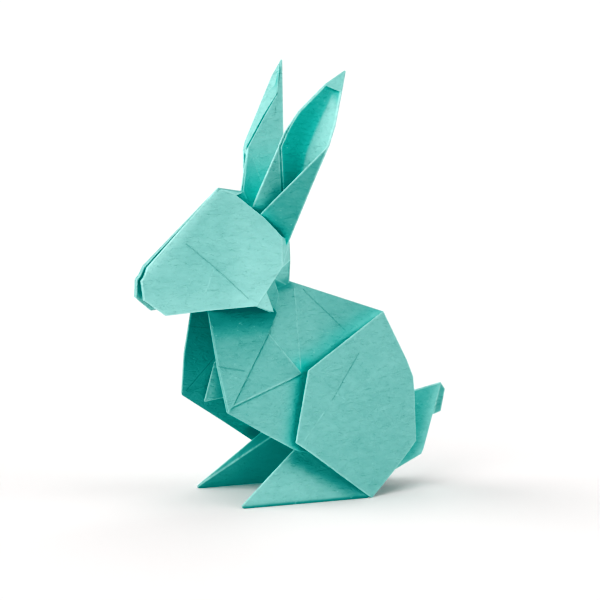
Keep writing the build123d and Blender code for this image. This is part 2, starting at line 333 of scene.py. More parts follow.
def sheet(
    corners, out, seed, lift=0.0, bulge=0.0, creases=(), centre=None, calm=1.0, tone=0.0, inside=0.0,
    lip=0.0, glow=0.0, rub=1.0, corner=None,
):
    """One flat panel of paper as a closed sheet: (vertices, loops, face sizes, wear, tone, glow).

    A point of its middle is rim(u) + (centre - rim(u)) s(v), so u walks round the outline and v
    runs from the outline to the centre. Off the middle lie: the half thickness, a quarter circle
    of the distance from the outline with a slight swelling where the fold is pressed; the bulge,
    which grows with that distance; the crumples; and the pressed creases, each a ridge that falls
    off as e to the power of minus its distance. All but the thickness fade out at the outline.

    The tone paints light and shade: a number, or a function of the points, from -1 for painted
    light to 1 for painted shade and 2 for deep painted shade. The side turned inwards gets painted
    shade by inside, and painted light by lip beside its outline. Glow is how strongly painted light
    from other leaves colours it. The rub sets the rubbing along the outline and its painted highlight.
    """
    size = paper()
    radius = size.leaf / 2
    corners = np.array(corners, float)
    normal = np.cross(corners, np.roll(corners, -1, axis=0)).sum(axis=0)
    normal /= np.linalg.norm(normal)
    if normal @ out < 0:
        corners, normal = corners[::-1], -normal
    corners = corners + normal * lift
    middle = corners.mean(axis=0) if centre is None else centre - normal * ((centre - corners[0]) @ normal)
    rim, corners = rim_of(corners, normal, radius, corner or size.corner)
    ends = np.roll(corners, -1, axis=0)
    away = np.cross(np.roll(rim, -1, axis=0) - np.roll(rim, 1, axis=0), normal)
    away /= np.linalg.norm(away, axis=1)[:, None]
    inset = np.maximum(((rim - middle) * away).sum(axis=1), 0.05)
    kernel = np.array([1, 2, 3, 2, 1]) / 9
    inset = np.convolve(np.concatenate([inset[-2:], inset, inset[:2]]), kernel, "valid")

    # The rows crowd towards the outline, where the paper turns round the fold
    turn = np.linspace(0, np.pi / 2, 6)
    depths = np.concatenate([radius * (1 - np.cos(turn)), radius * np.array([1.6, 2.5, 3.8, 5.5])])
    squeeze = np.minimum(1, 0.55 * inset / depths[-1])
    near = depths[:, None] * (squeeze / inset)[None, :]
    rows = max(3, int(np.linalg.norm(rim - middle, axis=1).max() / size.cell))
    inner = near[-1] + (1 - near[-1]) * np.linspace(0, 1, rows + 1)[1:-1, None]
    share = np.concatenate([near, inner])[..., None]
    grid = rim[None] + (middle - rim)[None] * share

    edge = nearest(grid, corners, ends)
    edge[0] = 0
    pole_edge = nearest(middle[None], corners, ends)
    grid = np.concatenate([grid.reshape(-1, 3), middle[None]])
    edge = np.concatenate([edge.ravel(), pole_edge])
    half = radius * np.sqrt(1 - (1 - np.clip(edge / radius, 0, 1)) ** 2)
    half = half + np.where(edge > 0, size.swell * np.exp(-((edge - radius) / (2.2 * radius)) ** 2), 0)
    fade = smooth_step(edge / CRUMPLE_FADE)
    push = fade * size.crumple * calm * crumple(grid, seed) + bulge * (1 - np.exp(-edge / BULGE_FADE))
    for start, end, height, width in creases:
        gap = np.sqrt(nearest(grid, [start], [end]) ** 2 + CREASE_ROUNDING ** 2) - CREASE_ROUNDING
        push = push + smooth_step(edge / CREASE_FADE) * height * np.exp(-gap / width)
    front = grid + normal * (push + half)[:, None]
    back = grid + normal * (push - half)[:, None]

    def of_grid(value):
        return value(grid) if callable(value) else np.full(len(grid), value)

    # An edge that stands on the ground gets neither paler rubbing nor painted highlight, and stays dark as
    # in shade
    wear_and_highlight = of_grid(rub) * np.exp(-((edge / WEAR_AND_HIGHLIGHT_WIDTH) ** 2)) * smooth_step(grid[:, 2] / GROUND_FADE)
    tone, inside, glow = of_grid(tone), of_grid(inside), of_grid(glow)
    inside = inside - lip * np.exp(-((edge / LIP_WIDTH) ** 2))

    columns = len(rim)
    row_count = len(share)
    index = np.arange(row_count * columns).reshape(row_count, columns)
    below, above = index[:-1], index[1:]
    quads = np.stack([below, np.roll(below, -1, axis=1), np.roll(above, -1, axis=1), above], axis=-1)
    quads = quads.reshape(-1, 4)
    last = index[-1]
    tips = np.stack([last, np.roll(last, -1), np.full(columns, row_count * columns)], axis=-1)
    # The back shares the outline's points with the front, and its other points follow the front's
    behind = np.arange(len(grid)) + len(grid) - columns
    behind[:columns] = np.arange(columns)
    points = np.concatenate([front, back[columns:]])
    faces = (quads, tips, behind[quads[:, ::-1]], behind[tips[:, ::-1]])
    loops = np.concatenate([part.ravel() for part in faces])
    sizes = np.concatenate([np.full(len(quads), 4), np.full(len(tips), 3)])
    tone = np.concatenate([tone, (tone + inside)[columns:]])
    wear_and_highlight, glow = (np.concatenate([value, value[columns:]]) for value in (wear_and_highlight, glow))
    return points, loops, np.tile(sizes, 2), wear_and_highlight, tone, glow


def curved_sheet(grid, thick, tone, glow):
    """A closed sheet over a grid of points: each point moves both ways along the grid's normal by
    the half thickness, a quarter circle of the distance from the nearest border, so the two sides
    meet along the border, whose points they share. Tone and glow are grids of numbers too."""
    rows, columns = grid.shape[:2]
    normal = np.cross(np.gradient(grid, axis=0), np.gradient(grid, axis=1))
    normal /= np.linalg.norm(normal, axis=-1)[..., None]
    gaps = []
    for axis in (0, 1):
        steps = np.linalg.norm(np.diff(grid, axis=axis), axis=-1)
        before = np.cumsum(steps, axis=axis)
        before = np.insert(before, 0, 0, axis=axis)
        gaps.append(np.minimum(before, before.take([-1], axis=axis) - before))
    edge = np.minimum(*gaps)
    radius = thick / 2
    half = radius * np.sqrt(1 - (1 - np.clip(edge / radius, 0, 1)) ** 2)[..., None]
    index = np.arange(rows * columns).reshape(rows, columns)
    behind = index.copy()
    behind[1:-1, 1:-1] = rows * columns + np.arange((rows - 2) * (columns - 2)).reshape(rows - 2, -1)
    quads = np.stack([index[:-1, :-1], index[1:, :-1], index[1:, 1:], index[:-1, 1:]], axis=-1)
    quads = quads.reshape(-1, 4)

    def both_sides(front, back, *size):
        return np.concatenate([front.reshape(-1, *size), back[1:-1, 1:-1].reshape(-1, *size)])

    points = both_sides(grid + normal * half, grid - normal * half, 3)
    loops = np.concatenate([quads.ravel(), behind.ravel()[quads[:, ::-1]].ravel()])
    # The border gets paler rubbing and a painted highlight
    wear_and_highlight = np.exp(-((edge / WEAR_AND_HIGHLIGHT_WIDTH) ** 2))
    values = (both_sides(value, value) for value in (wear_and_highlight, tone, glow))
    return points, loops, np.full(2 * len(quads), 4), *values


def mirrored(corners, sign):
    """Corners drawn on the left, kept there for sign 1 or moved to the right for sign -1."""
    return np.array(corners, float) * np.array([1, sign, 1])


def piece(name, sheets, material):
    """Joins sheets into one mesh object that stands for the CAD node and rides on its body."""
    starts = np.cumsum([0] + [len(points) for points, *_ in sheets])[:-1]
    points = (np.concatenate([s[0] for s in sheets]) + CENTRING) * MM
    loops = np.concatenate([s[1] + start for s, start in zip(sheets, starts)])
    sizes = np.concatenate([s[2] for s in sheets])
    # Nothing stands lower than the ground
    points[:, 2] = np.maximum(points[:, 2], 0)
    mesh = bpy.data.meshes.new(name)
    mesh.vertices.add(len(points))
    mesh.vertices.foreach_set("co", points.astype(np.float32).ravel())
    mesh.loops.add(len(loops))
    mesh.loops.foreach_set("vertex_index", loops.astype(np.int32))
    mesh.polygons.add(len(sizes))
    mesh.polygons.foreach_set("loop_start", (np.cumsum(sizes) - sizes).astype(np.int32))
    mesh.update(calc_edges=True)
    mesh.validate()
    mesh.polygons.foreach_set("use_smooth", np.ones(len(sizes), bool))
    # The tone and glow attributes carry painted light and shade, and fold_edge the edges' rubbing and
    # painted highlight
    for title, column in (("fold_edge", 3), ("tone", 4), ("glow", 5)):
        values = np.concatenate([s[column] for s in sheets]).astype(np.float32)
        mesh.attributes.new(title, "FLOAT", "POINT").data.foreach_set("value", values)
    mesh.materials.append(material)
    thing = bpy.data.objects.new(name, mesh)
    bpy.context.scene.collection.objects.link(thing)
    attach(thing, "root")
    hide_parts(NODE)
    return thing


def both_halves(build):
    """The sheets of a piece that has a left and a right half."""
    return build(LEFT) + build(RIGHT)


LEFT_OUT = np.array([0.0, -1.0, 0.0])

# Name, the way towards the light and strength
LIGHTS = (
    ("top", (0.05, -0.1, 1.0), 0.34),
    ("left_front", (-0.7, -0.35, 0.62), 1.25),
    ("right_front", (0.7, -0.6, 0.4), 0.94),
    ("right_rear", (0.6, 0.6, 0.5), 0.93),
    ("left_rear", (-0.7, 0.5, 0.5), 1.54),
)
# How wide each light looks, in radians
LIGHT_ANGLE = 0.9
# How strongly the camera sees the surroundings, and how far the floor reaches, in metres
SEEN_WHITE = 1.2
FLOOR_REACH = 6.0
# How softly red eases into black, the brightness below which green and blue keep some light, and
# how much they keep at the black level and print for no light at all
RED_EASE = 0.02
SHADE_TOP = 0.42
LIGHT_AT_BLACK = 0.09
LIGHT_AT_ZERO = 0.055


def panel(half, corners, seed, out=LEFT_OUT, creases=(), centre=None, **more):
    """A sheet drawn on the left half, made on the half that is wanted."""
    sign = half["sign"]
    flip = np.array([1, sign, 1])
    moved = [(start * flip, end * flip, height, width) for start, end, height, width in creases]
    middle = None if centre is None else centre * flip
    for name, value in more.items():
        if callable(value):
            more[name] = lambda points, value=value: value(points * flip)
    seed += RIGHT_SEED * (sign < 0)
    return sheet(mirrored(corners, sign), out * flip, seed, creases=moved, centre=middle, **more)


def falling(low, high, top, rest=0.0):
    """A value for each point that is top above the height high and rest below the height low."""
    return lambda points: rest + (top - rest) * smooth_step((points[:, 2] - low) / (high - low))


def rearwards(start, width, amount):
    """A value for each point that grows from 0 at the X start to amount a width behind it."""
    return lambda points: amount * smooth_step((points[:, 0] - start) / width)


def beside(start, end, width, amount):
    """A value for each point that is amount on the run between two corners and fades over a
    width: amount times e to the power of minus the square of the distance over the width."""
    return lambda points: amount * np.exp(-((nearest(points, [start], [end]) / width) ** 2))


def total(*parts):
    """The sum of some values, each a number or a function of the points."""
    return lambda points: sum(part(points) if callable(part) else part for part in parts)


def creases_on(plane, *rows):
    """Pressed creases on a plane, each from one side-view place to another, with its height, which
    is below zero for a valley, and its width."""
    return [(on(plane, start), on(plane, end), height, width) for start, end, height, width in rows]


# Painted light and shade behind the ear, paler towards the tip and deeper towards the root, with painted
# light from other leaves at the root
BEHIND_EAR = falling(62.0, 74.0, -0.15, 0.1)
EAR_GLOW = falling(62.0, 80.0, 0.0, 0.62)
# Painted shade on the foreleg, deeper towards the jaw, where its shadow falls, and beside the top of its
# front edge
FORELEG_TONE = total(
    falling(27.0, 38.0, 0.6, 0.15), falling(35.5, 43.0, 1.75),
    beside(on(FLANK, (-24.3, 42.0)), on(FLANK, BIB[0]), 2.2, 1.2),
)
# The chest is seen from the inside, with painted shade that is darkest under the jaw
CHEST_TONE = falling(20.0, 43.0, 1.75, 0.7)
# Painted light at the front of the layer that hangs inside, and painted shade behind
HANGING_TONE = total(-0.5, rearwards(-17.8, 3.4, 1.4))
# Painted light on the cheek: paler overall, more so along its front edge, towards the rear and near the jaw
CHEEK_TONE = total(
    -0.25, beside(on(CHEEK, BROW), on(CHEEK, CROWN_FRONT), 1.3, -0.6),
    rearwards(-21.0, 7.0, -0.3), falling(43.0, 50.0, 0.0, -0.25),
)
# Painted light and shade on the flank: paler beside the haunch's upper edge, deeper where the neck meets
# the back and towards the rear, and the haunch's painted shadow by its lower end
FLANK_TONE = total(
    beside(on(FLANK, BACK_REAR), on(FLANK, KNEE), 1.3, -0.7),
    beside(left(NECK_REAR_LOW, 0), on(FLANK, NECK_FOOT), 0.8, 1.0), rearwards(0.0, 8.0, 0.3),
    beside(on(FLANK, FLANK_END), on(FLANK, FLANK_SHADE_END), 1.6, 1.6),
)
# Painted light from other leaves beside the haunch's edges
FLANK_GLOW = total(
    beside(on(FLANK, BACK_REAR), on(FLANK, KNEE), 3.0, 0.35),
    beside(on(FLANK, KNEE), on(FLANK, THIGH), 2.4, 0.35),
)
# Painted shade on the rear of the neck, deep at its foot and pale above
NECK_TONE = total(-0.25, falling(47.0, 49.5, -1.2, 0.0), 1.2)
CHEEK_CREASES = creases_on(
    CHEEK,
    # A nearly flat valley whose line paints the cheek edge's shadow on the tucked jaw
    ((-13.3, 43.45), (-10.8, 46.55), -0.01, 2.5),
    ((-28.0, 57.5), (-21.1, 51.2), -0.22, 2.5),
    ((-21.1, 51.2), (-15.3, 45.3), -0.28, 2.5),
    ((-22.6, 51.7), (-25.1, 46.4), 0.16, 1.2),
)
FLANK_CREASES = creases_on(
    FLANK,
    ((-1.8, 46.1), (-2.3, 40.4), 0.2, 1.5),
    ((-2.3, 40.4), (-3.2, 29.2), 0.2, 1.5),
    ((0.6, 45.6), (9.8, 36.2), -0.08, 2.0),
    ((-22.3, 22.6), (-17.0, 30.3), -0.15, 1.5),
    # A nearly flat valley whose line paints the shadow below the shoulder flap's lower edge
    ((-22.1, 22.3), (-3.3, 27.7), -0.01, 2.5),
)
FORELEG_CREASES = creases_on(
    FLANK,
    ((-24.1, 31.4), (-21.4, 30.7), -0.22, 1.2),
    ((-21.4, 30.7), (-17.6, 29.9), -0.2, 1.2),
    # A nearly flat valley whose line paints the foreleg's shadow on the flap beside its edge
    ((-10.1, 36.9), (-21.9, 22.5), -0.01, 2.5),
)
HAUNCH_CREASES = creases_on(
    HAUNCH,
    ((12.2, 31.0), (3.4, 22.0), -0.25, 2.2),
    ((3.2, 23.6), (6.8, 21.9), 0.12, 1.5),
    ((0.6, 19.7), (-5.5, 14.5), 0.18, 1.5),
)


def flank_rub(points):
    """How strong the rubbing and painted highlight along the flank's outline are: most along the middle of
    its lower edge.
    """
    x = points[:, 0]
    return 0.15 + 0.45 * smooth_step((x + 20.0) / 5.0) * smooth_step((-x - 7.5) / 2.5)


def hem_half(half):
    """The cheek's front edge, turned in a little way towards the other cheek."""
    places = (CROWN_FRONT, BROW, NOSE_TOP, NOSE, LIP)
    turned = np.array([0.1, HEM, -0.1])
    sheets = []
    for k, (above, below) in enumerate(zip(places, places[1:])):
        above, below = on(CHEEK, above), on(CHEEK, below)
        corners = [above, below, below + turned] + ([above + turned] if k else [])
        # The hems are painted a little deeper, as in shade
        sheets.append(panel(half, corners, 30 + k, out=np.array([-1.0, 0, 0.3]), calm=0.2, tone=0.1))
    return sheets


def head_half(half):
    """The cheek, its crown facet, the two facets that close the nape and the tucked jaw."""
    outline = (
        CROWN_EDGE, NAPE_EDGE, NAPE_CREASE_TOP, NAPE_CREASE_LOW, JAW_REAR, JAW_MID, JAW_FRONT,
        CHIN, LIP, NOSE, NOSE_TOP, BROW, CROWN_FRONT,
    )
    top, low = on(CHEEK, NAPE_CREASE_TOP), on(CHEEK, NAPE_CREASE_LOW)
    nape_top, nape_low = left(NAPE_TOP, 0), left(NAPE_LOW, 0)
    # The tones paint light and shade: the cheek paler outside and deeper on its inner side, paler again by
    # its outline there, and the crown, the nape facets and the tucked jaw paler
    return [
        panel(half, [on(CHEEK, place) for place in outline], 1, creases=CHEEK_CREASES, bulge=0.35,
              tone=CHEEK_TONE, inside=1.2, lip=2.6),
        panel(half, [crown_front, on(CHEEK, CROWN_EDGE), crown_rear], 2, tone=-0.8),
        panel(half, [top, low, nape_top], 3, tone=-0.4),
        panel(half, [low, nape_low, nape_top], 4, tone=-0.3),
        panel(half, [on(CHEEK, JAW_TUCK), on(CHEEK, JAW_REAR), jaw_tuck_tip], 28, tone=-0.95, lift=-0.4),
    ]


def ear_half(half):
    """Two walls that meet in the valley at the back, two flaps folded over the lower front, the
    small facet at the tip and the lining."""
    tip = left(EAR_TIP, EAR_TIP_HALF_WIDTH)
    inner = left(half["inner_rim"][-1], EAR_INNER_HALF_WIDTH)
    outer = left(half["outer_rim"][-1], half["outer_half_width"])
    root_front = left(half["ear_root"], 0)
    root_rear = left(EAR_ROOT_REAR, 0)
    inner_plane = through(tip, inner, root_rear)
    outer_plane = through(tip, outer, root_rear)
    inner_wall = [tip, *[on(inner_plane, place) for place in half["inner_rim"]], root_rear]
    outer_wall = [tip, *[on(outer_plane, place) for place in half["outer_rim"]], root_rear]
    lower = [inner, root_front, root_rear]
    front = through(*lower)[1]
    inner_flap = np.array(lower) + front * np.array(INNER_FLAP_LIFTS)[:, None]
    overlap = root_front + (root_rear - root_front) * EAR_OVERLAP
    outer_flap = [outer, overlap + front * OUTER_FLAP_LIFT, root_rear + front * OUTER_FLAP_LIFT]
    # The tones and glows paint light and shade: the walls behind are deeper low down and lit at the root by
    # other leaves, the outer wall is paler, the flaps are paler and lit by other leaves near the root, and
    # shelter is the lining's painted shade
    behind = {"tone": BEHIND_EAR, "glow": EAR_GLOW, "rub": half["ear_rub"]}
    lining, shelter, glow = ear_lining(inner_wall, outer_wall, inner_plane[1], **half["lining"])
    return [
        panel(half, inner_wall, 5, corner=EAR_CORNER, **behind),
        panel(half, lower, 6, **behind),
        panel(half, outer_wall, 7, tone=-0.45, corner=EAR_CORNER),
        panel(half, inner_flap, 8, tone=total(0.1, beside(root_front, root_rear, 5.0, -0.8)),
              glow=beside(root_front, root_rear, 4.0, 0.5)),
        panel(half, outer_flap, 9, tone=total(0.75, beside(root_front, root_rear, 2.5, -1.6)),
              glow=beside(root_front, root_rear, 3.5, 0.8)),
        panel(half, [tip, inner_wall[1], outer_wall[1]], 10, rub=0.4, corner=EAR_CORNER),
        curved_sheet(mirrored(lining, half["sign"]), LINING_THICKNESS, shelter, glow),
    ]


def ear_lining(inner_chain, outer_chain, front, reach, light, freed):
    """The relaxed layer inside the ear, with its painted light and shade and its painted light from
    other leaves. At a share v of the way from the tip to the root the rims give points a and b, and c
    lies before the inner wall, two thirds of the way to the valley. Across the ear runs
    ((1-t)(1-t) a + 5 t (1-t) c + t t b) / w, where w is the sum of the three weights. The layer lies
    close to the wall before the share freed. The painted shade is deepest halfway down on the inner
    side and under the tip, and painted light makes the outer side paler."""
    tip, root = inner_chain[0], inner_chain[-1]
    down = (root - tip) / ((root - tip) @ (root - tip))
    v = np.linspace(0.03, 0.9, LINING_ROWS)
    sides = []
    for chain in (inner_chain, outer_chain):
        chain = np.array(chain)
        share = (chain - tip) @ down
        sides.append(np.stack([np.interp(v, share, chain[:, k]) for k in range(3)], axis=-1))
    inner, outer = sides
    across = tip + (root - tip) * v[:, None] - inner
    width = np.linalg.norm(across, axis=1)[:, None]
    front = front * smooth_step(width / 4.5)
    bend = inner + across * 0.66 + front * 0.6
    loose = smooth_step((v - freed) / 0.14)[:, None]
    inner = inner + front * (0.3 + 0.25 * loose) - across / width * reach * loose
    span = np.linalg.norm(outer - bend, axis=1)[:, None]
    outer = outer - (outer - bend) * np.clip(0.35 / span, 0.04, 0.5)
    t = (1 - np.cos(np.pi * np.linspace(0, 1, LINING_COLUMNS)))[None, :, None] / 2
    weights = (1 - t) ** 2, 5 * t * (1 - t), t * t
    curve = weights[0] * inner[:, None] + weights[1] * bend[:, None] + weights[2] * outer[:, None]
    along = t[..., 0] + 0 * v[:, None]
    # Painted shade inside the ear, and painted light on its outer side
    deepest = (0.45 + 0.55 * smooth_step(v / 0.35)) * (1 - 0.8 * smooth_step((v - 0.5) / 0.3))
    under_tip = 1 - smooth_step((v - 0.1) / 0.06)
    deep = np.maximum((1 - smooth_step((along - 0.52) / 0.2)) * deepest[:, None], 0.75 * under_tip[:, None])
    tone = 1.05 * deep - light * smooth_step((along - 0.6) / 0.3) * (1 - deep)
    return curve / sum(weights), tone, 0.42 * deep


def flank_half(half):
    """The side of the body from the back ridge to its free lower edge, with the collar."""
    breast = on(FLANK, half["breast"])
    shoulder = on(FLANK, SHOULDER)
    collar_plane = through(breast, shoulder, left(COLLAR, 0))
    collar_front = at_middle(collar_plane, breast[0])
    outline = (
        BACK_FRONT, BACK_REAR, FLANK_END, half["groin"], half["belly"], CHEST, BREAST_BEND,
        half["breast"], SHOULDER, COLLAR,
    )
    side = [on(FLANK, place) for place in outline]
    # Painted light and shade on the flank, painted shade on its inner side at the chest, and painted light
    # from other leaves by the haunch
    return [
        panel(half, side, 11, centre=on(FLANK, FLANK_CENTRE), creases=FLANK_CREASES, tone=FLANK_TONE,
              glow=FLANK_GLOW, inside=CHEST_TONE, rub=flank_rub),
        panel(half, [breast, shoulder, left(COLLAR, 0), collar_front], 12),
    ]


def neck_half(half):
    """Three facets that close the rear of the neck, from the nape down to the body, and three
    leaves that close the gap between the neck, the cheek and the flank."""
    side = left(NECK_SIDE, NECK_SIDE_HALF_WIDTH)
    nape_low, rear_low = left(NAPE_LOW, 0), left(NECK_REAR_LOW, 0)
    cheek, jaw, nape = (on(CHEEK, place) - CHEEK[1] * inset for place, inset in CHEEK_CORNERS)
    flank, foot = on(FLANK, FLANK_CORNER), on(FLANK, NECK_FOOT)
    # Painted shade on the rear facets at their foot, a little on the leaf under the jaw and all over the
    # closing leaves, whose edges get little rubbing and highlight
    rear = {"tone": NECK_TONE, "rub": 0.5}
    closing = {"tone": 0.9, "rub": 0.15}
    return [
        panel(half, [nape_low, on(CHEEK, NAPE_CREASE_LOW), side], 25, **rear),
        panel(half, [nape_low, rear_low, side], 26, **rear),
        panel(half, [rear_low, foot, side], 27, **rear),
        panel(half, [cheek, jaw, on(FLANK, SHOULDER), flank], 29, tone=0.4),
        panel(half, [cheek, flank, foot, side], 35, **closing),
        panel(half, [cheek, nape, side], 36, **closing),
    ]


def neck():
    """Two doubled leaves that stand in the middle plane between the cheeks."""
    outline = (
        CROWN_FRONT, CROWN_REAR, EAR_ROOT_FRONT, EAR_ROOT_REAR, NAPE_TOP, NAPE_LOW,
        NECK_REAR_LOW, NECK_LOW, THROAT, NECK_FRONT,
    )
    corners = [left(place, 0) for place in outline]
    # Painted light from the ears' roots, and little rubbing and highlight on the edges
    glow = beside(left(ROOT_GLOW[0], 0), left(ROOT_GLOW[1], 0), 1.3, 0.6)
    return [
        sheet(corners, out, seed, lift=paper().leaf / 2, centre=left(NECK_CENTRE, 0), calm=0.3,
              glow=glow, rub=0.15)
        for out, seed in ((LEFT_OUT, 13), (-LEFT_OUT, 14))
    ]


def foreleg_half(half):
    """The shoulder flap, the foreleg's doubled leaf over it and the layer that hangs inside."""
    leaf = paper().leaf
    fold_top = on(FLANK, FORELEG_FOLD)
    paw = on(FLANK, PAW)
    edge = [on(FLANK, place) for place in (CHEST, BREAST_BEND, half["breast"], *BIB, SHOULDER)]
    inward = FLANK[1] * -INNER_FORELEG_GAP
    front, rear = (on(FLANK, place) + inward for place in (INNER_FORELEG_FRONT, INNER_FORELEG_REAR))
    # The flap is painted a little deeper; the foreleg gets painted shade towards the jaw, with neither
    # rubbing nor highlight on its edge up there; the hanging layer gets painted light and shade
    return [
        panel(half, [fold_top, on(FLANK, FLAP_CORNER), paw], 15, lift=FLAP_LIFT * leaf, tone=0.2),
        panel(half, [paw, *edge, fold_top], 17, lift=FORELEG_LIFT * leaf, creases=FORELEG_CREASES,
              tone=FORELEG_TONE, rub=falling(38.5, 42.5, 0.0, 0.15)),
        panel(half, [on(FLANK, INNER_FORELEG_TOP), front, rear], 18, tone=HANGING_TONE),
    ]


def haunch_half(half):
    """The thigh panel, from the rear end of the back down to the heel."""
    outline = (
        BACK_REAR, KNEE, THIGH, THIGH_LOW, HEEL, HOCK, HOCK_NOTCH, RUMP_LOW, RUMP, RUMP_BEND,
        RUMP_TOP,
    )
    # A touch of painted light outside, and painted shade on the inner side
    return [
        panel(half, [on(HAUNCH, place) for place in outline], 19, bulge=0.25, creases=HAUNCH_CREASES,
              tone=-0.05, inside=0.6),
    ]


def foot_half(half):
    """The outer leaf, the inner leaf and the narrow roof between them."""
    hock = meet(toe, instep, HAUNCH)
    # The tips are rounded back to the CAD's toe from a little way in front of it
    tip = toe - np.array([TOE_ROUNDING, 0, 0])
    inner_hock = hock + np.array([0, FOOT_POCKET, -FOOT_POCKET])
    side = through(toe, heel, hock)
    # Painted light on the outer leaf, with the haunch's painted shadow and a painted contact shadow along
    # its lower edge; painted shade on the inner leaf and the roof
    shade = beside(on(side, FOOT_SHADE[0]), on(side, FOOT_SHADE[1]), 1.7, 0.95)
    return [
        panel(half, [tip, heel, hock], 20, corner=FOOT_CORNER,
              tone=total(-0.3, shade, beside(tip, heel, 0.45, 2.6))),
        panel(half, [tip, heel, inner_hock], 21, corner=FOOT_CORNER, tone=0.15),
        panel(half, [tip, inner_hock, hock], 22, calm=0.2, corner=FOOT_CORNER, tone=1.2),
    ]


def tail_half(half):
    """One leaf of the tail pleat, joined to the haunch along its upper edge."""
    tip, low = left(TAIL_TIP, 0), left(TAIL_LOW, 0)
    plane = through(tip, low, on(HAUNCH, RUMP))
    places = (TAIL_HEM, TAIL_ROOT_LOW, half["tail_root"], half["tail_top"])
    hem, root_low = on(plane, TAIL_HEM), on(plane, TAIL_ROOT_LOW)
    # Painted shade on the tail leaf, paler along its outer and lower edges, and painted light from other
    # leaves
    tone = total(0.55, beside(tip, low, 2.2, -1.0), beside(hem, root_low, 1.3, -0.8))
    return [panel(half, [tip, low, *[on(plane, place) for place in places]], 23, tone=tone, glow=0.2)]


# How a crease is drawn: its half width in millimetres, its colour, that colour's strength and its
# height in the bump. Valleys print as thin dark lines of painted shade, and ridges as pale lines of
# rubbing with a painted highlight.
CREASE_LINES = {"valley": (0.17, "dark", 0.42, -1.2), "ridge": (0.24, "pale", 0.6, 0.8)}


def add_node(tree, kind, inputs, **settings):
    """A new shader node. Each of its inputs takes a number, a colour or another node's output."""
    made = tree.nodes.new("ShaderNode" + kind)
    for name, value in settings.items():
        setattr(made, name, value)
    for name, value in inputs.items():
        if isinstance(value, bpy.types.NodeSocket):
            tree.links.new(value, made.inputs[name])
        else:
            made.inputs[name].default_value = value
    return made


def maths(operation, *values, clamp=False):
    """A Math node's output for numbers and sockets, in the sockets' own node tree."""
    tree = next(value.id_data for value in values if isinstance(value, bpy.types.NodeSocket))
    return add_node(tree, "Math", dict(enumerate(values)), operation=operation, use_clamp=clamp).outputs[0]


def noise(vector, scale, detail=3.0, roughness=0.5, distortion=0.0):
    """A Noise Texture's value at a scale per unit of the vector, in the vector's node tree."""
    names = ("Vector", "Scale", "Detail", "Roughness", "Distortion")
    inputs = dict(zip(names, (vector, scale, detail, roughness, distortion)))
    return add_node(vector.id_data, "TexNoise", inputs).outputs["Fac"]


def spread(value, low, high, to_low=0.0, to_high=1.0):
    """Maps a socket's value from one range to another and clamps it."""
    names = ("Value", "From Min", "From Max", "To Min", "To Max")
    inputs = dict(zip(names, (value, low, high, to_low, to_high)))
    return add_node(value.id_data, "MapRange", inputs).outputs["Result"]


def strand(vector, scale, middle, distortion):
    """A thin curly fibre, 1 along the line where a noise crosses a middle value and 0 beside it."""
    value = noise(vector, scale, 1.0, 0.4, distortion)
    gap = maths("ABSOLUTE", maths("SUBTRACT", value, middle))
    return spread(gap, 0.0, 0.012, 1.0, 0.0)


def new_group(name, inputs, outputs):
    """An empty shader node group with named sockets: its tree, the values that it is given and the
    node that its outputs go to."""
    tree = bpy.data.node_groups.new(name, "ShaderNodeTree")
    for title, kind, default in inputs:
        socket = tree.interface.new_socket(title, in_out="INPUT", socket_type="NodeSocket" + kind)
        if default is not None:
            socket.default_value = default
    for title in outputs:
        tree.interface.new_socket(title, in_out="OUTPUT", socket_type="NodeSocketFloat")
    return tree, tree.nodes.new("NodeGroupInput").outputs, tree.nodes.new("NodeGroupOutput")


